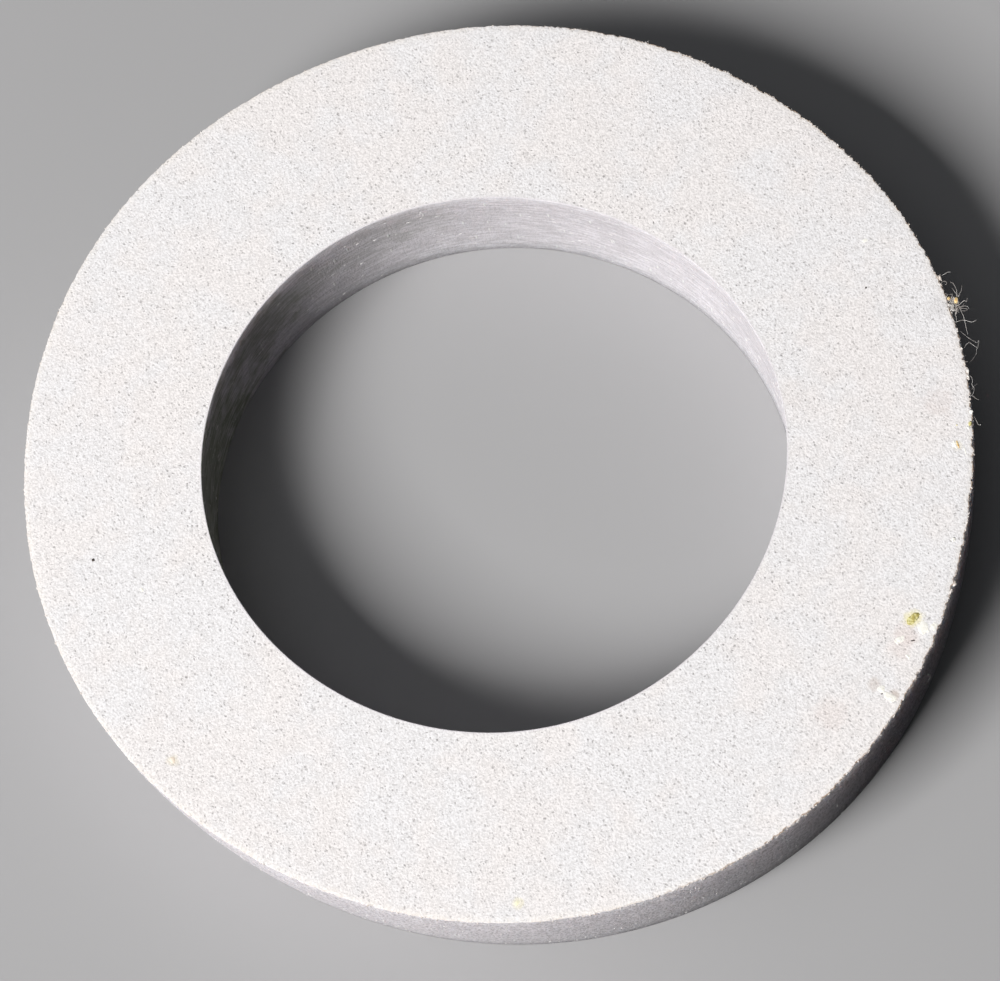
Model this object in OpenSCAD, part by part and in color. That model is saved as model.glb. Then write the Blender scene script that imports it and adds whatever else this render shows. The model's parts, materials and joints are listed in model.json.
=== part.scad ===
// Felt polishing wheel: a thick flat ring of pressed felt with a wide bore,
// with the grit, crumbs and lint that a used wheel picks up near its rim.
// Millimetres, +Z up. The origin is on the bore's axis, at the back face,
// which the wheel lies on. The working face is on top.

/* [Ring] */
// Outer diameter at the working face
outer_d = 100; // [80:1:150]
// Diameter of the bore
bore_d = 60.5; // [40:0.5:64]
// Thickness of the felt
felt_t = 14; // [8:0.5:25]
// How far the cut rim draws in on the radius, from the working face to the back
rim_draw = 0.8; // [0:0.1:1.5]
// Width of the worn edge at each corner of the ring
edge_soft = 0.4; // [0.2:0.1:1]

/* [Grit in the face] */
// How deep a grain sits in the felt, as a share of its height
sunk_share = 0.6; // [0.3:0.05:0.8]
// Distance of the grit from the rim's edge
grit_inset = 2.4; // [2:0.1:4]
// Length of the largest amber grain
amber_len = 1.4; // [0.8:0.1:2]
// Length of the largest pale crumb
crumb_len = 1.2; // [0.8:0.1:1.8]
// Length of a dark speck
speck_len = 0.6; // [0.4:0.1:1]

/* [Lint at the rim] */
// Diameter of the knot of lint
knot_d = 1.4; // [1:0.1:2]
// Thickness of a fibre
fibre_d = 0.16; // [0.1:0.02:0.3]
// Number of fibres that curl out of the knot
fibre_count = 5; // [3:1:8]
// Direction of the lint from the ring's centre, in degrees
lint_angle = -3; // [-180:1:180]

/* [Hidden] */
outer_r = outer_d / 2;
bore_r = bore_d / 2;
grit_r = outer_r - grit_inset;

// Each grain: [direction in degrees, distance from the axis, length, turn in degrees]
AMBER = [
    [-44.5, grit_r - 0.2, amber_len, 65],
    [-21, grit_r + 0.6, amber_len * 0.6, -70]
];
CRUMBS = [
    [-45.2, grit_r + 1.1, crumb_len, 30],
    [-47.7, grit_r - 0.6, crumb_len * 0.7, 75],
    [-54.6, grit_r + 1.3, crumb_len, -15],
    [-54.4, grit_r + 0.2, crumb_len * 0.5, 50],
    [-107.3, grit_r + 0.4, crumb_len * 0.55, 20],
    [9.4, grit_r - 2.3, crumb_len * 0.6, 10],
    [-156.7, grit_r - 1.5, crumb_len * 0.55, 25]
];
SPECKS = [
    [172.5, grit_r - 4.1, speck_len, 40],
    [-47.1, grit_r + 0.7, speck_len, 36]
];

// Where the knot of lint sits: in a chip of the rim's upper edge
knot_pos = [outer_r - knot_d * 0.2, 0, felt_t - knot_d * 0.3];

// A grain with flat facets: a block with its corners cut off by a turned block
module grain(length) {
    height = length * 0.6;
    intersection() {
        cube([length, length * 0.62, height], center = true);
        rotate([0, 0, 38]) cube([length * 0.86, length * 0.8, height], center = true);
        rotate([0, 52, 12]) cube([length * 0.9, length, length * 0.8], center = true);
    }
}

// Grains pressed into the working face, sunk_share of their height deep
module set_in_face(places) {
    for (p = places)
        rotate([0, 0, p[0]])
            translate([p[1], 0, felt_t + p[2] * 0.6 * (0.5 - sunk_share)])
                rotate([0, 0, p[3]]) grain(p[2]);
}

module lint_knot() {
    rotate([0, 0, lint_angle]) translate(knot_pos) sphere(d = knot_d, $fn = 48);
}

// One fibre: an arc that starts in the knot and curls outward over its sweep
module fibre(curl_r, sweep) {
    translate([0, curl_r, 0])
        rotate([0, 0, -90])
            rotate_extrude(angle = sweep, $fn = 96)
                translate([curl_r, 0]) circle(d = fibre_d, $fn = 24);
}

// The cut section of the ring: a straight bore, a rim that draws in towards the back,
// and a small worn edge at each of the four corners
module ring_section() {
    slope = rim_draw / felt_t;
    polygon([
        [bore_r, edge_soft],
        [bore_r + edge_soft, 0],
        [outer_r - rim_draw - edge_soft, 0],
        [outer_r - rim_draw + slope * edge_soft, edge_soft],
        [outer_r - slope * edge_soft, felt_t - edge_soft],
        [outer_r - edge_soft, felt_t],
        [bore_r + edge_soft, felt_t],
        [bore_r, felt_t - edge_soft]
    ]);
}

module felt_ring() {
    color("#e9e7e6") difference() {
        rotate_extrude($fn = 180) ring_section();
        set_in_face(AMBER);
        set_in_face(CRUMBS);
        set_in_face(SPECKS);
        lint_knot();
    }
}

module amber_grains() {
    color("#b9a23c") set_in_face(AMBER);
}

module pale_crumbs() {
    color("#f4f0dc") set_in_face(CRUMBS);
}

module dark_specks() {
    color("#3b3632") set_in_face(SPECKS);
}

module rim_lint() {
    color("#a39c93") {
        lint_knot();
        rotate([0, 0, lint_angle]) translate(knot_pos)
            for (i = [0 : fibre_count - 1])
                rotate([0, 0, -75 + 150 * i / (fibre_count - 1)])
                    translate([knot_d * 0.3, 0, 0])
                        rotate([20 + 25 * (i % 3), 0, 0])
                            fibre(0.7 + 0.1 * (i % 2), 80);
    }
}

felt_ring();
amber_grains();
pale_crumbs();
dark_specks();
rim_lint();
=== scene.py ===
"""Felt polishing wheel: the looks of a used felt ring, its lodged grit and its lint, round the CAD part.

Lengths are in metres, apart from tables and arguments whose comment or docstring says mm. Directions on the
ring are degrees from +X, seen from above.
"""

import json
import math

import bmesh
import bpy
import numpy as np
from mathutils import Matrix, Vector, noise


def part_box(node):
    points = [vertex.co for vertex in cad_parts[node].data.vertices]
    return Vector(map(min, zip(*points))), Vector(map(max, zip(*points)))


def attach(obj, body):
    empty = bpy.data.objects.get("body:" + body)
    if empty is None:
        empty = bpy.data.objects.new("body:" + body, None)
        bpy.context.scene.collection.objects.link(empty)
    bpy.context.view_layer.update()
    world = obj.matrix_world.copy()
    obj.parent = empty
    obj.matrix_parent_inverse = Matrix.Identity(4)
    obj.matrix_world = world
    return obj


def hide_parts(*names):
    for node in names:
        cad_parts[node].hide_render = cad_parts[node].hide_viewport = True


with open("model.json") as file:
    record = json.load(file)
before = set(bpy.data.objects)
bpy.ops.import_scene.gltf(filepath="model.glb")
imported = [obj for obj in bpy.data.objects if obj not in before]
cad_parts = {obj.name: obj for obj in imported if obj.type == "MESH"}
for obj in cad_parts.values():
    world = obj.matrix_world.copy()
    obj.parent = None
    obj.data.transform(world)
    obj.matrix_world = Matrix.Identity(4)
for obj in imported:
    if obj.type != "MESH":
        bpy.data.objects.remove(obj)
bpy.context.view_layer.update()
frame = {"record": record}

# ---------------------------------------------------------------- sizes, from the frame
MM = 0.001
ring_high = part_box("felt_ring")[1]
bore_mount = next(m for m in frame["record"]["mounts"] if m["name"] == "bore")
FELT_T = ring_high.z
OUTER_R = max(ring_high.x, ring_high.y)
BORE_R = bore_mount["dims"]["r_mm"] * MM
RIM_DRAW = 0.8 * MM  # how far the cut rim draws in at the back
RIM_SPREAD = 0.06 * MM  # how far the soft rim has spread past its cut size
EDGE_R = 0.07 * MM  # rounding of the ring's four corners
EDGE_ROLL = 0.04 * MM  # how far the working face dips at its outer edge
RIM_BULGE = 0.25 * MM  # how far the cut rim bows out at half height
BORE_HOLLOW = 0.3 * MM  # how far the cut bore bows out at half height

# How soft felt has settled out of round: (waves round the ring, height in mm, direction of a crest)
RIM_WAVES = [(1, 0.07, -18), (2, 0.59, -55), (3, 0.31, 25), (4, 0.135, 9), (5, 0.07, -5), (6, 0.075, 4)]
RIM_LEAN = [(1, 0.2, 85), (2, 0.18, -45)]  # what the rim adds to that at the back
BORE_WAVES = [(1, 0.27, -167), (2, 0.68, -34), (3, 0.13, 6), (4, 0.09, -4)]
BORE_LEAN = [(1, 0.19, 140), (2, 0.49, -27), (3, 0.4, 58)]  # what the bore adds to that at the back


# ---------------------------------------------------------------- camera, lights and floor
CAMERA_TILT = math.radians(69.4)  # how steeply it looks down
CAMERA_ROLL = math.radians(-21.45)
CAMERA_LENS = 158.3
CAMERA_RANGE = 9.206 * OUTER_R  # from the point it aims at
AIM_RIGHT, AIM_UP = -0.0135 * OUTER_R, -0.0705 * OUTER_R  # where it aims, from the working face's middle


def make_camera():
    c, s = math.cos(CAMERA_TILT), math.sin(CAMERA_TILT)
    right, up, forward = Vector((1, 0, 0)), Vector((0, s, c)), Vector((0, c, -s))
    camera = bpy.data.objects.new("camera", bpy.data.cameras.new("camera"))
    bpy.context.scene.collection.objects.link(camera)
    aim = Vector((0, 0, FELT_T)) + right * AIM_RIGHT + up * AIM_UP
    c, s = math.cos(CAMERA_ROLL), math.sin(CAMERA_ROLL)
    rolled_right, rolled_up = right * c + up * s, up * c - right * s
    turn = Matrix((rolled_right, rolled_up, -forward)).transposed()
    camera.matrix_world = Matrix.Translation(aim - forward * CAMERA_RANGE) @ turn.to_4x4()
    camera.data.lens = CAMERA_LENS
    camera.data.clip_start, camera.data.clip_end = 0.01, 20
    bpy.context.scene.camera = camera


def area_light(name, direction, height, distance, size, power, colour):
    """A square soft light that looks at the ring from this direction, this many degrees above the floor."""
    data = bpy.data.lights.new(name, "AREA")
    data.energy, data.size, data.color = power, size, colour
    light = bpy.data.objects.new(name, data)
    a, e = math.radians(direction), math.radians(height)
    back = Vector((math.cos(a) * math.cos(e), math.sin(a) * math.cos(e), math.sin(e)))
    light.location = Vector((0, 0, FELT_T / 2)) + back * distance
    light.rotation_mode = "QUATERNION"
    light.rotation_quaternion = (-back).to_track_quat("-Z", "Y")
    bpy.context.scene.collection.objects.link(light)


SKY_TINT, SKY_STRENGTH = (0.93, 0.95, 1.0, 1), 0.048
SKY_RISE = 0.2  # how far above the horizon the sky reaches its strength, as a share of straight up
BACKDROP = (0.42, 0.42, 0.425, 1)


def make_world():
    """A faint sky over a room that is dark below the horizon. The camera sees a plain pale wall instead."""
    world = bpy.data.worlds.new("studio")
    bpy.context.scene.world = world
    world.use_nodes = True
    nodes, links = world.node_tree.nodes, world.node_tree.links
    sky, wall = nodes["Background"], nodes.new("ShaderNodeBackground")
    sky.inputs["Color"].default_value = SKY_TINT
    wall.inputs["Color"].default_value = BACKDROP
    split = nodes.new("ShaderNodeSeparateXYZ")
    links.new(nodes.new("ShaderNodeTexCoord").outputs["Generated"], split.inputs["Vector"])
    rise = nodes.new("ShaderNodeMapRange")
    for key, value in (("From Min", 0.0), ("From Max", SKY_RISE), ("To Min", 0.0), ("To Max", SKY_STRENGTH)):
        rise.inputs[key].default_value = value
    links.new(split.outputs["Z"], rise.inputs["Value"])
    links.new(rise.outputs["Result"], sky.inputs["Strength"])
    seen = nodes.new("ShaderNodeMixShader")
    links.new(nodes.new("ShaderNodeLightPath").outputs["Is Camera Ray"], seen.inputs["Fac"])
    links.new(sky.outputs["Background"], seen.inputs[1])
    links.new(wall.outputs["Background"], seen.inputs[2])
    links.new(seen.outputs["Shader"], nodes["World Output"].inputs["Surface"])


def make_lights():
    warm, cool = (1.0, 0.985, 0.975), (0.96, 0.97, 1.0)
    area_light("key", direction=-156, height=42, distance=2.0, size=0.93, power=59.5, colour=warm)
    area_light("fill", direction=120, height=78, distance=1.0, size=0.8, power=0.8, colour=cool)
    settings = bpy.context.scene.view_settings
    settings.view_transform = "Standard"
    settings.look = "None"


# ---------------------------------------------------------------- materials
class Nodes:
    """A material's node tree, with a short call for each kind of node that the materials here use."""

    def __init__(self, name, roughness, specular=0.3, sheen=0.0):
        self.material = bpy.data.materials.new(name)
        self.material.use_nodes = True
        self.tree = self.material.node_tree
        self.shader = self.tree.nodes["Principled BSDF"]
        self.shader.inputs["Roughness"].default_value = roughness
        self.shader.inputs["Specular IOR Level"].default_value = specular
        self.shader.inputs["Sheen Weight"].default_value = sheen
        self.shader.inputs["Sheen Roughness"].default_value = 0.6
        self.point = self.add("ShaderNodeTexCoord").outputs["Object"]

    def plug(self, socket, value):
        """Sets an input to a number or a colour, or joins it to another node's output."""
        if isinstance(value, bpy.types.NodeSocket):
            self.tree.links.new(value, socket)
        elif socket.type == "RGBA":
            socket.default_value = (*value, 1)
        else:
            socket.default_value = value

    def add(self, kind, inputs=None, **settings):
        node = self.tree.nodes.new(kind)
        for key, value in settings.items():
            setattr(node, key, value)
        for key, value in (inputs or {}).items():
            self.plug(node.inputs[key], value)
        return node

    def math(self, operation, a, b=0.0, c=0.0, clamp=False):
        node = self.add("ShaderNodeMath", operation=operation, use_clamp=clamp)
        for socket, value in zip(node.inputs, (a, b, c)):
            self.plug(socket, value)
        return node.outputs[0]

    def vector(self, operation, a, b):
        return self.add("ShaderNodeVectorMath", {0: a, 1: b}, operation=operation).outputs["Vector"]

    def noise(self, size, detail=2.0, roughness=0.5, point=None, output="Fac"):
        """Noise from 0 to 1, or a colour of three noises, whose largest bumps are about size across."""
        inputs = {"Vector": point or self.point, "Scale": 1 / size, "Detail": detail, "Roughness": roughness}
        return self.add("ShaderNodeTexNoise", inputs).outputs[output]

    def cells(self, size, point=None):
        """Scattered spots, one to a cell of this size: the distance from the nearest, and its own number."""
        inputs = {"Vector": point or self.point, "Scale": 1 / size}
        node = self.add("ShaderNodeTexVoronoi", inputs)
        lot = self.add("ShaderNodeSeparateXYZ", {"Vector": node.outputs["Color"]}).outputs["X"]
        return node.outputs["Distance"], lot

    def remap(self, value, low, high, to_low=0.0, to_high=1.0):
        inputs = {"Value": value, "From Min": low, "From Max": high, "To Min": to_low, "To Max": to_high}
        return self.add("ShaderNodeMapRange", inputs, interpolation_type="SMOOTHSTEP").outputs["Result"]

    def mix(self, share, a, b):
        node = self.add("ShaderNodeMix", data_type="RGBA")
        for key, value in ((0, share), (6, a), (7, b)):
            self.plug(node.inputs[key], value)
        return node.outputs[2]

    def stain(self, colour, tint, spot, radius, strength, grain=0.9 * MM):
        """colour with a blotch of tint round spot, which fades out at radius and is ragged in this grain."""
        far = self.add("ShaderNodeVectorMath", {0: self.point, 1: spot}, operation="DISTANCE")
        away = far.outputs["Value"]
        ragged = self.math("MULTIPLY_ADD", self.noise(grain, 3, 0.65), -1.5 * radius, 1.75 * radius)
        near = self.math("SUBTRACT", 1.0, self.math("DIVIDE", away, ragged), clamp=True)
        share = self.math("MULTIPLY", self.remap(near, 0, 0.6), strength)
        return self.mix(share, colour, tint)

    def finish(self, colour, height=None, depth=0.0):
        self.tree.links.new(colour, self.shader.inputs["Base Color"])
        if height is not None:
            bump = self.add("ShaderNodeBump", {"Height": height, "Distance": depth, "Strength": 1.0})
            self.tree.links.new(bump.outputs["Normal"], self.shader.inputs["Normal"])
        return self.material


def heading(direction):
    """The level vector of length 1 that points in this direction."""
    a = math.radians(direction)
    return Vector((math.cos(a), math.sin(a), 0))


def on_ring(direction, inset, height=FELT_T):
    """The point at this direction, inset mm in from the ring's nominal rim and at this height."""
    return heading(direction) * (OUTER_R - inset * MM) + Vector((0, 0, height))


# Stains in the working face: (direction, inset from the rim in mm, radius in mm, strength, tint)
OCHRE, BROWN, PINK, GREY = (0.72, 0.62, 0.28), (0.52, 0.42, 0.34), (0.74, 0.60, 0.55), (0.50, 0.49, 0.50)
YELLOW = (0.90, 0.82, 0.42)
STAINS = [
    (-44.5, 2.6, 1.25, 0.60, YELLOW),
    (-46.7, 2.6, 1.5, 0.30, PINK),
    (-48.6, 2.4, 1.6, 0.22, PINK),
    (-54.3, 2.9, 1.0, 0.34, BROWN),
    (-54.1, 0.5, 0.7, 0.50, BROWN),
    (-60.5, 4.6, 2.2, 0.18, PINK),
    (-15.5, 3.4, 2.2, 0.20, PINK),
    (-21.3, 1.7, 0.7, 0.25, OCHRE),
    (-107.2, 1.9, 0.8, 0.30, YELLOW),
    (-156.7, 3.9, 0.9, 0.22, OCHRE),
    (-10.6, 17.7, 2.6, 0.06, BROWN),
    (-3.0, 1.0, 1.6, 0.22, GREY),
]


def face_felt():
    """The pressed face: white felt, finely pitted, with a smooth lip at the bore and faint stains."""
    n = Nodes("face_felt", 0.95, 0.1, 0.1)
    # pits of two sizes, in cells that noise has bent, and specks finer than both
    warp = n.vector("SUBTRACT", n.noise(0.4 * MM, output="Color"), (0.5, 0.5, 0.5))
    bent = n.vector("ADD", n.point, n.vector("MULTIPLY", warp, (0.5 * MM,) * 3))
    away, lot = n.cells(0.50 * MM, bent)
    pits = n.math("MULTIPLY", n.remap(away, 0.36, 0.08), n.remap(lot, 0.0, 1.0, 0.25, 1.0))
    away, lot = n.cells(0.29 * MM, bent)
    small = n.math("MULTIPLY", n.remap(away, 0.44, 0.10), n.remap(lot, 0.0, 1.0, 0.2, 1.0))
    speck = n.remap(n.noise(0.24 * MM, 2, 0.6), 0.34, 0.66)
    # across runs from 0 at the bore to 1 at the rim
    across = n.add("ShaderNodeAttribute", attribute_name="across").outputs["Fac"]
    lip = n.remap(across, 0.002, 0.012)
    near_bore = n.remap(across, 0.30, 0.02, 1.0, 1.3)
    # clouded white, darker in its specks and pits
    cloud = n.math("MULTIPLY_ADD", n.noise(4 * MM, 2), 0.5, n.math("MULTIPLY", n.noise(15 * MM, 2), 0.5))
    white = n.mix(n.remap(cloud, 0.40, 0.60), (0.945, 0.912, 0.903), (0.925, 0.918, 0.930))
    dusty = n.mix(n.math("MULTIPLY", speck, 0.40), white, (0.54, 0.52, 0.51))
    dark_small = n.mix(n.math("MULTIPLY", small, 0.38), dusty, (0.40, 0.38, 0.37))
    pitted = n.math("MULTIPLY", n.math("MULTIPLY", pits, near_bore), lip)
    colour = n.mix(n.math("MULTIPLY", pitted, 0.56), dark_small, (0.30, 0.285, 0.28))
    # a cream fringe along the rim, a brown line where it has frayed, and a greyish lip at the bore
    ragged = n.remap(n.noise(0.6 * MM, 3, 0.7), 0.38, 0.62)
    fringe = n.math("MULTIPLY", n.remap(across, 0.955, 0.999), n.remap(ragged, 0, 1, 0.08, 0.36))
    colour = n.mix(fringe, colour, (0.92, 0.86, 0.78))
    frayed = n.add("ShaderNodeAttribute", attribute_name="frayed").outputs["Fac"]
    # the brown line is partly wear and partly painted shade, where the edge turns down into the wall's shade
    worn = n.math("MULTIPLY", n.remap(across, 0.9945, 1.0), n.remap(ragged, 0, 1, 0.25, 1.0))
    worn = n.math("MULTIPLY", worn, n.math("MULTIPLY", frayed, frayed))
    colour = n.mix(worn, colour, (0.38, 0.27, 0.19))
    colour = n.mix(n.remap(across, 0.012, 0.0, 0.0, 0.8), colour, (0.80, 0.77, 0.79))
    for direction, inset, radius, strength, tint in STAINS:
        colour = n.stain(colour, tint, on_ring(direction, inset), radius * MM, strength)
    height = n.math("SUBTRACT", n.math("MULTIPLY", speck, -0.6), n.math("MULTIPLY_ADD", small, 0.5, pitted))
    return n.finish(colour, height, 0.03 * MM)


# Painted shade on the bore's wall, where it lies in shade: (direction, share of the height, radius in mm,
# strength)
PAINTED_SHADE_PATCHES = [(163, 0.0, 23, 1.0), (124, 0.62, 7, 0.50), (112, 0.6, 4.5, 0.2), (97, 0.66, 7, 0.14),
                (86, 0.68, 5, 0.10)]
# the greenish dark of that painted shade
PAINTED_SHADE_TINT = (0.25, 0.27, 0.20)
LIGHT_BLEED = 6 * MM  # how far light scatters inside the felt, red most


def cut_felt(name, white, band, score, slant, speckle, relief, patches=()):
    """A knife-cut wall: faintly lilac felt with broad bands and fine scores round the ring, nap and dust.

    band, score and speckle say how much the bands, the scores and the nap darken it. slant tilts the scores,
    in radians, relief is how deep the surface is, in mm, and patches is a table of painted shade in the
    bore.
    Light that enters the white face comes out of the wall just below it, so the felt scatters light inside.
    """
    n = Nodes(name, 0.9, 0.15, 0.05)
    n.shader.inputs["Subsurface Weight"].default_value = 0.5
    n.shader.inputs["Subsurface Radius"].default_value = (1.0, 0.92, 0.88)
    n.shader.inputs["Subsurface Scale"].default_value = LIGHT_BLEED
    flat = {"Vector": n.point, "Rotation": (0, slant, 0), "Scale": (1, 1, 0.14)}
    scored = n.add("ShaderNodeMapping", flat, vector_type="TEXTURE").outputs["Vector"]
    lines = n.remap(n.noise(2.4 * MM, 2, 0.6, scored), 0.36, 0.62)
    bands = n.remap(n.noise(7 * MM, 3, 0.6, n.vector("MULTIPLY", n.point, (1, 1, 3))), 0.38, 0.62)
    nap = n.remap(n.noise(0.3 * MM, 4, 0.72, n.vector("MULTIPLY", n.point, (1, 1, 0.65))), 0.42, 0.66)
    shaded = tuple(0.93 * part for part in white)
    colour = n.mix(n.remap(n.noise(9 * MM, 3), 0.35, 0.65), white, shaded)
    colour = n.mix(n.math("MULTIPLY", bands, band), colour, (0.50, 0.48, 0.50))
    colour = n.mix(n.math("MULTIPLY", lines, score), colour, (0.40, 0.38, 0.39))
    colour = n.mix(n.math("MULTIPLY", nap, speckle), colour, (0.42, 0.40, 0.42))
    away, lot = n.cells(0.9 * MM, n.vector("MULTIPLY", n.point, (1, 1, 0.3)))
    flecks = n.math("MULTIPLY", n.remap(away, 0.2, 0.08), n.remap(lot, 0.2, 0.9))
    colour = n.mix(n.math("MULTIPLY", flecks, 0.75), colour, (1.0, 1.0, 0.98))
    # painted shade on the bore's wall where it lies in shade, streaked along the scores
    for direction, share, radius, strength in patches:
        spot = heading(direction) * BORE_R + Vector((0, 0, share * FELT_T))
        streaked_shade = n.remap(lines, 0, 1, 0.65 * strength, 1.1 * strength)
        colour = n.stain(colour, PAINTED_SHADE_TINT, spot, radius * MM, streaked_shade, 3 * MM)
    height = n.math("MULTIPLY_ADD", lines, -score, n.math("MULTIPLY_ADD", nap, -0.6, flecks))
    return n.finish(colour, height, relief * MM)


def grain_of(name, light, dark, roughness, relief=0.04):
    """A lodged grain or crust: mottled from light to dark, its surface uneven by relief mm."""
    n = Nodes(name, roughness, 0.4)
    blotch = n.remap(n.noise(0.35 * MM, 3, 0.6), 0.36, 0.64)
    fine = n.noise(0.09 * MM, 3, 0.6)
    colour = n.mix(blotch, light, dark)
    return n.finish(colour, n.math("MULTIPLY_ADD", fine, 0.6, blotch), relief * MM)


def lint_fibre(name, light, dark):
    n = Nodes(name, 0.65, 0.4, 0.2)
    tone = n.remap(n.noise(0.8 * MM, 2), 0.35, 0.65)
    return n.finish(n.mix(tone, light, dark), n.noise(0.05 * MM), 0.01 * MM)


def loose_felt():
    """The felt of tufts that have worked loose at the rim: white, with a warm shade here and there."""
    n = Nodes("loose_felt", 0.95, 0.1, 0.1)
    shade = n.remap(n.noise(0.5 * MM, 3, 0.65), 0.35, 0.65)
    return n.finish(n.mix(shade, (0.93, 0.90, 0.87), (0.70, 0.62, 0.55)), n.noise(0.06 * MM, 3), 0.02 * MM)


def floor_paint():
    n = Nodes("floor_paint", 0.8, 0.2)
    return n.finish(n.mix(n.noise(0.08, 3), (0.38, 0.38, 0.385), (0.40, 0.40, 0.405)))


# ---------------------------------------------------------------- the felt ring
ROUND = 1940  # points round the ring
FACE_ROWS, WALL_ROWS, CORNER_ROWS = 18, 9, 2  # rows of points across the face, up a wall and in a corner
ROLL_START = 0.98  # the share of the way from bore to rim at which the working face begins to dip
WEAR_DEPTH = 0.45 * MM  # how far down the rim's wall its worn edge reaches
WEAR_POWER = 24  # how fast that wear dies away inward along the face
SCALLOP_DEPTH = 0.06 * MM  # of the scallops in the rim's upper edge, about
SCALLOP_SIZES = (2, 0.9, 0.45)  # how long they are, in mm
CHIPS = 700  # small breaks in the rim's upper edge
CHIP_DEPTHS, CHIP_HALF_WIDTHS = (0.04, 0.2), (0.12, 0.4)  # least and greatest, in mm
FRAYED = (-88, 62)  # directions between which the rim's upper edge has frayed most
FRAY_FADE, FRAY_LEAST = 4, 0.4  # degrees in which that fades, and the share of it that is left elsewhere

# Larger breaks in the rim's upper edge: (direction, half width in mm, depth in mm)
NOTCHES = [(5.4, 0.3, 0.16), (3.9, 0.3, 0.2), (2.4, 0.25, 0.18), (-8.7, 0.35, 0.16), (-10.3, 0.25, 0.25),
           (-27.5, 0.35, 0.20), (-28.4, 0.3, 0.20), (-38.2, 0.4, 0.22), (-39.2, 0.35, 0.26),
           (-41.6, 0.45, 0.22), (-62.7, 0.2, 0.16), (-65.2, 0.4, 0.18), (-68.9, 0.25, 0.16)]


def wavy(base, waves, angle):
    """A radius that waves about base, as the tables of waves say; angle is in radians."""
    return base + sum(h * MM * np.cos(n * (angle - math.radians(d))) for n, h, d in waves)


def corner():
    """A quarter turn as (cosine, sine) pairs, without its end points."""
    turns = np.radians(90 * (np.arange(CORNER_ROWS) + 0.5) / CORNER_ROWS)
    return [(math.cos(t), math.sin(t)) for t in turns]


def frayed_share(direction):
    """1 where the rim's upper edge has frayed most, and less than half of that elsewhere."""
    past_low, past_high = (1 / (1 + np.exp((end - direction) / FRAY_FADE)) for end in FRAYED)
    return FRAY_LEAST + (1 - FRAY_LEAST) * (past_low - past_high)


def edge_loss(angle):
    """How far the rim's upper edge has worn back at each angle, in radians: scallops and small chips."""
    random = np.random.default_rng(5)
    direction = np.degrees((angle + math.pi) % (2 * math.pi) - math.pi)
    spots = [Vector((math.cos(a), math.sin(a), 0)) * OUTER_R for a in angle]
    waves = [sum(noise.noise(p / (size * MM)) for size in SCALLOP_SIZES) for p in spots]
    loss = SCALLOP_DEPTH * np.array(waves) * frayed_share(direction)
    breaks = [(math.radians(d), width * MM, depth * MM) for d, width, depth in NOTCHES]
    for place in random.uniform(-math.pi, math.pi, CHIPS):
        depth = random.uniform(*CHIP_DEPTHS) * MM * frayed_share(math.degrees(place))
        breaks.append((place, random.uniform(*CHIP_HALF_WIDTHS) * MM, depth))
    for place, width, depth in breaks:
        arc = np.abs((angle - place + math.pi) % (2 * math.pi) - math.pi) * OUTER_R
        loss = np.maximum(loss, depth * np.clip(1.6 * (1 - arc / width), 0, 1))
    return loss


def bore_bow(rise):
    """How far the bore's wall is hollow at this share of its height."""
    return BORE_HOLLOW * 4 * rise * (1 - rise)


def ring_rows():
    """The ring's section, once round, in rows: share of the way to the rim, step outward, height, zone."""
    rows = []
    top = FELT_T - EDGE_ROLL
    for share in (0, 0.006, *np.linspace(0.02, ROLL_START, FACE_ROWS), 0.992, 1):
        dip = EDGE_ROLL * (max(0, share - ROLL_START) / (1 - ROLL_START)) ** 2
        rows.append((share, EDGE_R * (1 - 2 * share), FELT_T - dip, "face"))
    for c, s in reversed(corner()):
        rows.append((1, EDGE_R * (c - 1), top - EDGE_R * (1 - s), "edge"))
    for drop in np.linspace(0, 1, WALL_ROWS) ** 1.8:
        rows.append((1, 0, top - EDGE_R - drop * (top - 2 * EDGE_R), "rim"))
    for c, s in corner():
        rows.append((1, EDGE_R * (c - 1), EDGE_R * (1 - s), "rim"))
    for share in np.linspace(1, 0, 3):
        rows.append((share, EDGE_R * (1 - 2 * share), 0, "back"))
    for c, s in reversed(corner()):
        rows.append((0, EDGE_R * (1 - c), EDGE_R * (1 - s), "bore"))
    for rise in np.linspace(0, 1, WALL_ROWS):
        rows.append((0, bore_bow(rise), EDGE_R + rise * (FELT_T - 2 * EDGE_R), "bore"))
    for c, s in corner():
        rows.append((0, EDGE_R * (1 - c), FELT_T - EDGE_R * (1 - s), "bore"))
    return rows


def ring_radius(angle, share, height):
    """The ring's radius at a share of the way from bore to rim, before its edges are rounded or worn."""
    deep = 1 - height / FELT_T
    bore = wavy(BORE_R, BORE_WAVES, angle) + wavy(0, BORE_LEAN, angle) * deep
    rim = wavy(OUTER_R + RIM_SPREAD, RIM_WAVES, angle) + (wavy(0, RIM_LEAN, angle) - RIM_DRAW) * deep
    rim = rim + RIM_BULGE * 4 * deep * (1 - deep)
    return bore * (1 - share) + rim * share


def rim_edge(direction):
    """The radius of the rim's worn upper edge at this direction."""
    angle = np.linspace(0, 2 * math.pi, ROUND, endpoint=False)
    edge = ring_radius(angle, 1, FELT_T) - edge_loss(angle)
    return np.interp(np.radians(direction) % (2 * math.pi), angle, edge, period=2 * math.pi)


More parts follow.
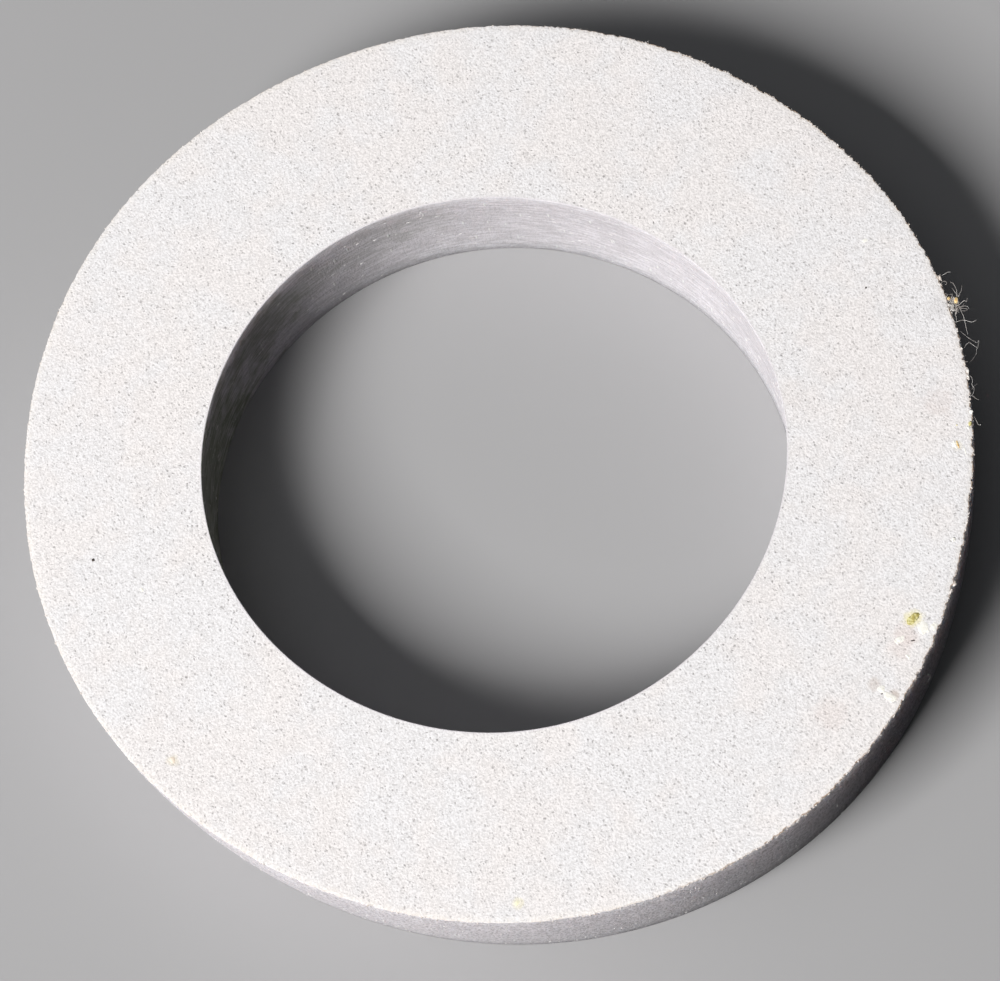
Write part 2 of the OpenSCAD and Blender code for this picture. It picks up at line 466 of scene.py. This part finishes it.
def make_ring(materials):
    rows = ring_rows()
    angle = np.linspace(0, 2 * math.pi, ROUND, endpoint=False)
    random = np.random.default_rng(11)
    loss = edge_loss(angle)
    points = np.empty((len(rows), ROUND, 3))
    for i, (share, step, height, zone) in enumerate(rows):
        # the wear fades inward along the face and down the wall
        worn = share ** WEAR_POWER * min(1, max(0, 1.25 - (FELT_T - height) / WEAR_DEPTH))
        radius = ring_radius(angle, share, height) + step - loss * worn
        turn = angle.copy()
        high = np.full(ROUND, height)
        if zone == "face" and 0 < share < 1:
            # the face is slightly uneven
            turn += random.normal(0, 0.2, ROUND) * (angle[1] - angle[0])
            radius = radius + random.normal(0, 0.02 * MM, ROUND)
            high -= np.abs(random.normal(0, 0.004 * MM, ROUND))
        points[i] = np.stack([radius * np.cos(turn), radius * np.sin(turn), high], 1)
    first = np.arange(len(rows))[:, None] * ROUND + np.arange(ROUND)[None]
    ahead = np.roll(first, -1, axis=1)
    below, below_ahead = np.roll(first, -1, axis=0), np.roll(ahead, -1, axis=0)
    faces = np.stack([first, below, below_ahead, ahead], -1).reshape(-1, 4)
    mesh = bpy.data.meshes.new("felt_wheel")
    mesh.from_pydata(points.reshape(-1, 3).tolist(), [], faces.tolist())
    for material in materials:
        mesh.materials.append(material)
    kinds = {"rim": 1, "bore": 2}
    mesh.polygons.foreach_set("material_index", np.repeat([kinds.get(row[3], 0) for row in rows], ROUND))
    mesh.polygons.foreach_set("use_smooth", np.ones(len(faces), bool))
    across = mesh.attributes.new("across", "FLOAT", "POINT")
    across.data.foreach_set("value", np.repeat([row[0] for row in rows], ROUND).astype(np.float32))
    frayed = mesh.attributes.new("frayed", "FLOAT", "POINT")
    direction = np.degrees((angle + math.pi) % (2 * math.pi) - math.pi)
    frayed.data.foreach_set("value", np.tile(frayed_share(direction), len(rows)).astype(np.float32))
    mesh.update()
    mesh.validate()
    ring = bpy.data.objects.new("felt_wheel", mesh)
    bpy.context.scene.collection.objects.link(ring)
    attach(ring, "root")
    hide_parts("felt_ring")


# ---------------------------------------------------------------- small closed shapes
def unit_ball(detail):
    """The points and faces of a ball of radius 1."""
    shape = bmesh.new()
    bmesh.ops.create_icosphere(shape, subdivisions=detail, radius=1)
    points = [v.co.copy() for v in shape.verts]
    faces = [[v.index for v in f.verts] for f in shape.faces]
    shape.free()
    return points, faces


BALLS = {detail: unit_ball(detail) for detail in (1, 2, 3, 4)}


def smooth_path(knots, steps=6):
    """A smooth curve through these points, with this many steps from each to the next."""
    knots = [Vector(k) for k in knots]
    ends = [2 * knots[0] - knots[1], *knots, 2 * knots[-1] - knots[-2]]
    path = []
    for a, b, c, d in zip(ends, ends[1:], ends[2:], ends[3:]):
        for t in (i / steps for i in range(steps)):
            path.append(b + 0.5 * t * (c - a + t * (2 * a - 5 * b + 4 * c - d + t * (3 * (b - c) + d - a))))
    return path + [knots[-1]]


class Solids:
    """Closed shapes gathered into one mesh."""

    def __init__(self):
        self.points, self.faces = [], []

    def add(self, points, faces):
        start = len(self.points)
        self.points += [tuple(p) for p in points]
        self.faces += [[i + start for i in face] for face in faces]

    def lump(self, centre, size, turn, seed, rough=0.3, waist=0.0, detail=3):
        """A rough grain, size long, wide and high, whose length is turned this many degrees from +X."""
        balls, faces = BALLS[detail]
        shift = Vector((3.7, 1.3, 7.1)) * seed
        c, s = math.cos(math.radians(turn)), math.sin(math.radians(turn))
        points = []
        for d in balls:
            swell = 0.5 + rough * (noise.noise(d * 1.5 + shift) + 0.4 * noise.noise(d * 4 + shift))
            pinch = 1 - waist * math.exp(-((d.x / 0.35) ** 2))
            x, y, z = d.x * size[0] * swell, d.y * size[1] * swell * pinch, d.z * size[2] * swell
            points.append(centre + Vector((c * x - s * y, s * x + c * y, z)))
        self.add(points, faces)

    def fibre(self, path, radius, sides=5):
        """A round fibre along a path, thinner towards its ends."""
        side = Vector((0.3, 0.5, 0.81))
        points, faces = [], []
        last = len(path) - 1
        for i, p in enumerate(path):
            ahead = (path[min(i + 1, last)] - path[max(i - 1, 0)]).normalized()
            side = (side - ahead * side.dot(ahead)).normalized()
            other = ahead.cross(side)
            thick = radius * (0.4 + 0.6 * math.sin(math.pi * (i + 0.3) / (last + 0.6)) ** 0.5)
            for k in range(sides):
                a = 2 * math.pi * k / sides
                points.append(p + (side * math.cos(a) + other * math.sin(a)) * thick)
                if i < last:
                    here, beside = i * sides + k, i * sides + (k + 1) % sides
                    faces.append([here, beside, beside + sides, here + sides])
        faces += [list(reversed(range(sides))), list(range(last * sides, (last + 1) * sides))]
        self.add(points, faces)

    def piece(self, name, material, slot, replaces=None):
        mesh = bpy.data.meshes.new(name)
        mesh.from_pydata(self.points, [], self.faces)
        mesh.polygons.foreach_set("use_smooth", np.ones(len(self.faces), bool))
        mesh.materials.append(material)
        mesh.update()
        piece = bpy.data.objects.new(name, mesh)
        bpy.context.scene.collection.objects.link(piece)
        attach(piece, "root")
        if replaces:
            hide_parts(replaces)


# ---------------------------------------------------------------- grit, crumbs and specks in the face
def set_in(solids, seed, direction, inset, length, width, proud, turn, bulk=2.6, **shape):
    """One grain in the working face, in mm, that stands this proud of it; turn is its length's direction.

    Its whole height is bulk times what stands proud, so a large bulk leaves only a low dome in sight.
    """
    height = bulk * proud
    centre = on_ring(direction, inset, FELT_T + (proud - height / 2) * MM)
    solids.lump(centre, Vector((length, width, height)) * MM, turn, seed, **shape)


def crumb_patch(solids, seed, direction, inset, length, width, turn, count):
    """A crust of dried polish, its sizes in mm: a low smooth pat, with a few small crumbs round its edge."""
    random = np.random.default_rng(seed)
    along, across = heading(turn), heading(turn + 90)
    middle = on_ring(direction, inset)
    for share, proud in ((1.55, 0.04), (1.1, 0.045)):
        low = dict(bulk=9, rough=0.07, detail=4)
        set_in(solids, seed + share, direction, inset, share * length, share * width, proud, turn, **low)
    for i in range(count):
        reach, a = random.uniform(0.3, 0.5), random.uniform(0, 2 * math.pi)
        spot = middle + (along * math.cos(a) * reach * length + across * math.sin(a) * reach * width) * MM
        size = random.uniform(0.25, 0.45)
        spot.z = FELT_T - 0.07 * MM
        shape = Vector((size * 1.5, size * random.uniform(0.9, 1.4), 0.18)) * MM
        solids.lump(spot, shape, random.uniform(0, 180), seed + i, rough=0.1, detail=3)


def at_edge(direction, inset):
    """How far in from the ring's nominal rim a spot is that lies inset mm in from its worn edge."""
    return inset + (OUTER_R - rim_edge(direction)) / MM


def make_olive_grit():
    solids = Solids()
    set_in(solids, 1, -44.5, 2.62, 1.5, 1.02, 0.07, 21, rough=0.18, waist=0.12, detail=4)
    set_in(solids, 3, -18.6, at_edge(-18.6, 0.2), 0.5, 0.36, 0.05, 60)
    set_in(solids, 4, -18.7, 1.66, 0.16, 0.14, 0.03, 0)
    material = grain_of("olive_grit", (0.80, 0.75, 0.37), (0.50, 0.42, 0.12), 0.6)
    solids.piece("grit_grains", material, "amber_grit", "amber_grains")


def make_polish_crumbs():
    solids = Solids()
    crumb_patch(solids, 11, -45.1, 1.25, 1.3, 1.1, 60, 18)
    crumb_patch(solids, 12, -44.5, 0.42, 0.65, 0.55, 30, 8)
    crumb_patch(solids, 13, -47.7, 3.0, 0.9, 0.65, 10, 9)
    crumb_patch(solids, 14, -54.3, 2.0, 0.75, 0.5, 130, 8)
    crumb_patch(solids, 15, -54.6, 0.85, 1.3, 0.75, -50, 16)
    crumb_patch(solids, 16, -49.2, 1.4, 0.5, 0.22, 110, 4)
    crumb_patch(solids, 18, -21.25, 1.92, 0.95, 0.32, -91, 6)
    set_in(solids, 19, -22.1, 0.9, 1.4, 0.2, 0.015, -96, bulk=9, rough=0.08)
    set_in(solids, 20, -19.15, at_edge(-19.15, 0.35), 0.4, 0.3, 0.04, 80)
    set_in(solids, 21, -33.5, 1.15, 0.5, 0.4, 0.05, 20)
    set_in(solids, 31, 9.4, 4.7, 1.0, 0.75, 0.03, 160, bulk=9, rough=0.08)
    set_in(solids, 32, 179.2, 10.6, 0.75, 0.6, 0.03, 120, bulk=9, rough=0.08)
    set_in(solids, 33, -17.1, at_edge(-17.1, 0.02), 0.42, 0.3, 0.08, 30)
    material = grain_of("dried_polish", (0.99, 0.98, 0.93), (0.95, 0.93, 0.85), 0.9, 0.008)
    solids.piece("polish_crumbs", material, "dried_polish", "pale_crumbs")


def make_flakes():
    """Two thin flakes of dried polish that have stained at their edges: a lemon one and a tan one."""
    solids = Solids()
    set_in(solids, 41, -107.3, 1.96, 1.0, 0.85, 0.035, 20, bulk=9, rough=0.08)
    lemon = grain_of("lemon_polish", (1.0, 0.98, 0.76), (0.92, 0.88, 0.62), 0.85, 0.01)
    solids.piece("lemon_flake", lemon, "dried_polish")
    solids = Solids()
    set_in(solids, 42, -156.7, 3.91, 1.15, 1.0, 0.035, 60, bulk=9, rough=0.08)
    tan = grain_of("tan_polish", (0.93, 0.84, 0.73), (0.85, 0.73, 0.60), 0.85, 0.01)
    solids.piece("tan_flake", tan, "dried_polish")


def make_dark_specks():
    solids = Solids()
    set_in(solids, 51, 172.5, 6.46, 0.36, 0.32, 0.05, 30, rough=0.2)
    set_in(solids, 52, -47.1, 1.69, 0.48, 0.15, 0.03, -12, rough=0.2)
    set_in(solids, 53, -54.75, 1.72, 0.24, 0.13, 0.04, -15, rough=0.2)
    set_in(solids, 54, 3.2, 7.1, 0.24, 0.20, 0.03, 50, rough=0.2)
    material = grain_of("dark_grit", (0.045, 0.04, 0.038), (0.11, 0.09, 0.08), 0.6)
    solids.piece("black_specks", material, "dark_grit", "dark_specks")


# ---------------------------------------------------------------- lint and fray at the rim
LINT_DIRECTION = -3
KNOT_FIBRES, KNOT_LUMPS = 110, 18

# Fibres round the knot: the fibre's radius in mm, then its points in mm outward, along the rim and up. Each
# starts in the felt or in the knot.
LONG_FIBRES = [
    (0.022, [(0.1, 2.9, -0.3), (0.5, 3.25, -0.25), (0.95, 3.35, -0.2), (1.35, 3.4, -0.2), (1.5, 3.3, -0.2)]),
    (0.022, [(0.1, 2.5, -0.3), (0.5, 2.6, -0.2), (0.75, 2.4, -0.2), (0.65, 2.15, -0.2), (0.5, 2.25, -0.25)]),
    (0.022, [(1.1, 0.2, -0.2), (1.25, 0.6, 0.0), (1.4, 1.0, 0.1), (1.4, 1.4, 0.1), (1.3, 1.95, 0.1),
             (1.05, 2.2, 0.1)]),
    (0.02, [(1.3, 0.2, -0.2), (1.35, 0.5, 0.0), (1.15, 1.0, 0.1), (1.05, 1.45, 0.1)]),
    (0.018, [(1.2, 0.2, -0.2), (1.45, 0.5, 0.0), (1.65, 0.65, 0.1), (1.9, 0.9, 0.1), (2.1, 1.4, 0.1)]),
    (0.018, [(1.0, -0.9, -0.1), (1.5, -1.1, 0.0), (1.8, -1.3, 0.0), (1.5, -1.4, 0.0), (1.15, -1.15, -0.1)]),
    (0.018, [(1.0, -0.8, -0.2), (1.6, -0.85, 0.0), (1.9, -1.05, 0.0), (1.95, -1.35, 0.0)]),
    (0.026, [(1.1, -0.6, -0.1), (1.1, -1.35, 0.0), (1.15, -1.95, 0.0), (1.05, -2.7, 0.0), (0.95, -3.4, 0.0),
             (0.9, -4.0, 0.0)]),
    (0.022, [(0.0, -2.1, -0.2), (0.3, -2.25, 0.0), (0.8, -2.25, 0.0), (1.25, -2.45, 0.0), (1.7, -2.8, 0.0),
             (2.05, -2.8, 0.0), (2.3, -2.75, 0.0)]),
    (0.026, [(0.5, -1.1, -0.3), (0.45, -1.4, -0.2), (0.4, -1.75, -0.2), (0.3, -2.05, -0.2)]),
    (0.015, [(-0.1, -2.9, -0.5), (0.3, -3.25, -0.4), (0.6, -3.75, -0.4), (0.9, -4.25, -0.4),
             (1.25, -4.7, -0.4), (1.5, -5.0, -0.4), (1.75, -4.9, -0.35), (1.55, -5.35, -0.3),
             (1.4, -5.6, -0.3)]),
    (0.02, [(1.4, -5.6, -0.3), (1.1, -5.25, -0.3), (0.85, -4.85, -0.3), (0.7, -4.75, -0.3),
            (0.3, -4.95, -0.3), (0.1, -5.15, -0.3), (-0.2, -5.4, -0.4)]),
    (0.011, [(1.4, -5.6, -0.3), (1.25, -5.65, -0.6), (1.05, -6.1, -0.6), (0.55, -6.5, -0.6),
             (-0.3, -7.0, -0.7)]),
    (0.02, [(-0.7, -8.0, -0.3), (-0.4, -8.3, -0.15), (-0.3, -8.7, -0.1), (-0.35, -9.05, -0.1),
            (-0.55, -9.4, -0.1), (-0.45, -9.75, -0.1), (-0.65, -10.2, -0.2), (-1.1, -10.5, -0.3)]),
    (0.014, [(-0.7, -9.8, -0.3), (-0.45, -9.6, -0.2), (0.05, -9.4, -0.2)]),
    (0.018, [(-1.0, -10.3, -0.3), (-0.8, -10.6, -0.2), (-0.65, -10.9, -0.2), (-0.4, -11.15, -0.2)]),
    (0.02, [(-1.7, -12.4, -0.4), (-1.45, -12.85, -0.2), (-1.4, -13.3, -0.2), (-1.35, -13.7, -0.2),
            (-1.15, -13.8, -0.2)]),
]


def beside_rim(outward, along, up):
    """A point near the lint, in mm outward from the rim there, along the rim and above the face."""
    out, beside = heading(LINT_DIRECTION), heading(LINT_DIRECTION + 90)
    return on_ring(LINT_DIRECTION, 0) + (out * outward + beside * along + Vector((0, 0, up))) * MM


def make_rim_lint():
    solids = Solids()
    random = np.random.default_rng(21)
    for radius, knots in LONG_FIBRES:
        solids.fibre(smooth_path([beside_rim(*k) for k in knots]), radius * MM)
    middle = np.array([0.55, -0.4, -0.3])
    for _ in range(KNOT_FIBRES):
        spot = middle + random.normal(0, (0.30, 0.40, 0.16))
        step = random.normal(0, 1, 3)
        knots = []
        for _ in range(5):
            knots.append(beside_rim(*spot))
            step = step * 0.55 + random.normal(0, 0.8, 3)
            spot = spot + step * 0.2 + (middle - spot) * 0.2
        solids.fibre(smooth_path(knots, 4), 0.024 * MM, 4)
    for i in range(KNOT_LUMPS):
        spot = beside_rim(*(middle + random.normal(0, (0.26, 0.40, 0.10))))
        size = Vector(random.uniform(0.14, 0.40, 3)) * MM
        solids.lump(spot, size, random.uniform(0, 180), 60 + i, detail=2)
    solids.lump(beside_rim(-1.15, -13.8, -0.2), Vector((0.1, 0.08, 0.08)) * MM, 0, 90, detail=2)
    material = lint_fibre("lint_fibre", (0.78, 0.76, 0.73), (0.46, 0.42, 0.39))
    solids.piece("lint_tuft", material, "lint", "rim_lint")


def make_orange_grit():
    """Two orange-yellow grains that the lint holds, and a sliver of the same grit in the face."""
    solids = Solids()
    solids.lump(beside_rim(0.36, 0.5, 0.05), Vector((0.36, 0.30, 0.26)) * MM, 40, 71)
    solids.lump(beside_rim(1.0, 0.0, 0.1), Vector((0.62, 0.40, 0.32)) * MM, 75, 72)
    set_in(solids, 73, -21.15, 1.66, 0.9, 0.2, 0.03, -91)
    material = grain_of("orange_grit", (0.96, 0.78, 0.42), (0.78, 0.46, 0.15), 0.5)
    solids.piece("orange_grains", material, "amber_grit")


TUFTS = 900  # loose tufts along the rim's upper edge
HAIRS = 110  # short fibres that stand out of it

# Larger loose tufts there: (direction, inset from the worn edge in mm, length in mm, width in mm)
BIG_TUFTS = [(0.5, -0.22, 0.62, 0.36), (-38.75, -0.02, 0.6, 0.3), (-39.7, 0.05, 0.5, 0.3),
             (-11.1, -0.06, 0.5, 0.22), (-11.9, -0.1, 0.8, 0.3), (-12.7, -0.04, 0.6, 0.3)]


def make_edge_fray():
    """Tufts of felt and short fibres that have worked loose along the rim's upper edge."""
    solids = Solids()
    random = np.random.default_rng(31)
    # more places than it needs, because most of those outside the frayed part are dropped
    places = random.uniform(-180, 180, 4 * (TUFTS + HAIRS))
    places = places[random.uniform(0, 1, len(places)) < frayed_share(places) ** 2]
    edges = rim_edge(places)
    for i in range(TUFTS + HAIRS):
        drop = random.uniform(0.04, 0.32) * MM
        out, beside = heading(places[i]), heading(places[i] + 90)
        base = out * (edges[i] + random.uniform(-0.08, 0.03) * MM) + Vector((0, 0, FELT_T - drop))
        if i < TUFTS:
            size = Vector(random.uniform((0.12, 0.07, 0.06), (0.34, 0.16, 0.14))) * MM
            solids.lump(base, size, places[i] + 90 + random.normal(0, 30), 100 + i, rough=0.4, detail=2)
            continue
        reach = random.uniform(0.08, 0.35)
        lean = beside * random.normal(0, 0.5) + out * random.uniform(0.3, 1)
        lean = (lean + Vector((0, 0, random.normal(0, 0.3)))).normalized() * reach * MM
        curl = Vector(random.normal(0, 0.12, 3)) * reach * MM
        knots = [base - lean * 0.3, base + lean * 0.5 + curl, base + lean]
        solids.fibre(smooth_path(knots, 4), 0.016 * MM, 4)
    for direction, inset, length, width in BIG_TUFTS:
        spot = heading(direction) * (rim_edge(direction) - inset * MM)
        spot.z = FELT_T - 0.14 * MM
        shape = Vector((length, width, 0.26)) * MM
        solids.lump(spot, shape, direction + 85, 90 + round(direction), rough=0.45, detail=3)
    solids.piece("edge_fray", loose_felt(), "white_felt")


def on_wall(share, direction, height, off):
    """The point off mm outward of the rim's wall, if share is 1, or of the bore's wall, if it is 0."""
    radius = float(ring_radius(np.array([math.radians(direction)]), share, height)[0]) + off * MM
    if share == 0:
        radius += bore_bow(height / FELT_T)
    return heading(direction) * radius + Vector((0, 0, height))


# The stray hair on the rim's wall: (direction, mm below the face, mm off the wall)
HAIR_KNOTS = [(-50.8, 2.8, -0.05), (-50.3, 4.0, 0.2), (-49.7, 5.3, 0.3), (-49.0, 6.2, 0.3),
              (-48.5, 5.6, 0.3), (-48.8, 4.4, 0.2), (-49.3, 4.1, -0.05)]


def make_wall_hair():
    """A stray hair that has looped against the rim's cut wall, with a crumb of white dust on it."""
    solids = Solids()
    knots = [on_wall(1, direction, FELT_T - drop * MM, off) for direction, drop, off in HAIR_KNOTS]
    solids.fibre(smooth_path(knots), 0.03 * MM)
    solids.lump(knots[5], Vector((0.24, 0.24, 0.2)) * MM, 0, 95, detail=2)
    material = lint_fibre("pale_hair", (1.0, 0.99, 0.97), (0.90, 0.88, 0.85))
    solids.piece("wall_hair", material, "lint")


# Specks on the cut walls: (how many, share and off as on_wall has them, least and greatest size in mm)
FLECKS = [
    (800, 1, 0.005, (0.07, 0.06, 0.06), (0.22, 0.10, 0.12)),  # pale dust on the rim's wall
    (700, 0, 0.01, (0.2, 0.05, 0.05), (1.0, 0.08, 0.07)),  # cut ends of fibre that lie round the bore's wall
]


def make_wall_flecks():
    """Specks of pale dust on the rim's wall, and cut ends of fibre that lie round the bore's wall."""
    solids = Solids()
    random = np.random.default_rng(41)
    kinds = [kind for kind in FLECKS for _ in range(kind[0])]
    for i, (_, share, off, low, high) in enumerate(kinds):
        direction, rise = random.uniform(-180, 180), random.uniform(0.04, 0.94)
        size = Vector(random.uniform(low, high)) * MM
        spot = on_wall(share, direction, rise * FELT_T, off)
        solids.lump(spot, size, direction + 90 + random.normal(0, 4), 200 + i, rough=0.3, detail=1)
    material = lint_fibre("wall_dust", (1.0, 0.99, 0.97), (0.86, 0.84, 0.82))
    solids.piece("wall_flecks", material, "white_felt")


FLOOR_SIZE = 4


def make_floor():
    bpy.ops.mesh.primitive_plane_add(size=FLOOR_SIZE, location=(0, 0, 0))
    floor = bpy.context.object
    floor.name = "floor"
    floor.data.materials.append(floor_paint())
    floor.visible_diffuse = False  # the floor throws no light back, so the walls keep their shade


make_camera()
make_world()
make_lights()
make_floor()
rim_look = dict(band=0.16, score=0.20, slant=0.3, speckle=0.8, relief=0.075)
bore_look = dict(band=0.14, score=0.40, slant=0.0, speckle=0.28, relief=0.04, patches=PAINTED_SHADE_PATCHES)
rim_felt = cut_felt("rim_felt", (0.99, 0.945, 1.0), **rim_look)
bore_felt = cut_felt("bore_felt", (0.89, 0.855, 0.90), **bore_look)
make_ring([face_felt(), rim_felt, bore_felt])
make_edge_fray()
make_olive_grit()
make_polish_crumbs()
make_flakes()
make_dark_specks()
make_rim_lint()
make_orange_grit()
make_wall_hair()
make_wall_flecks()
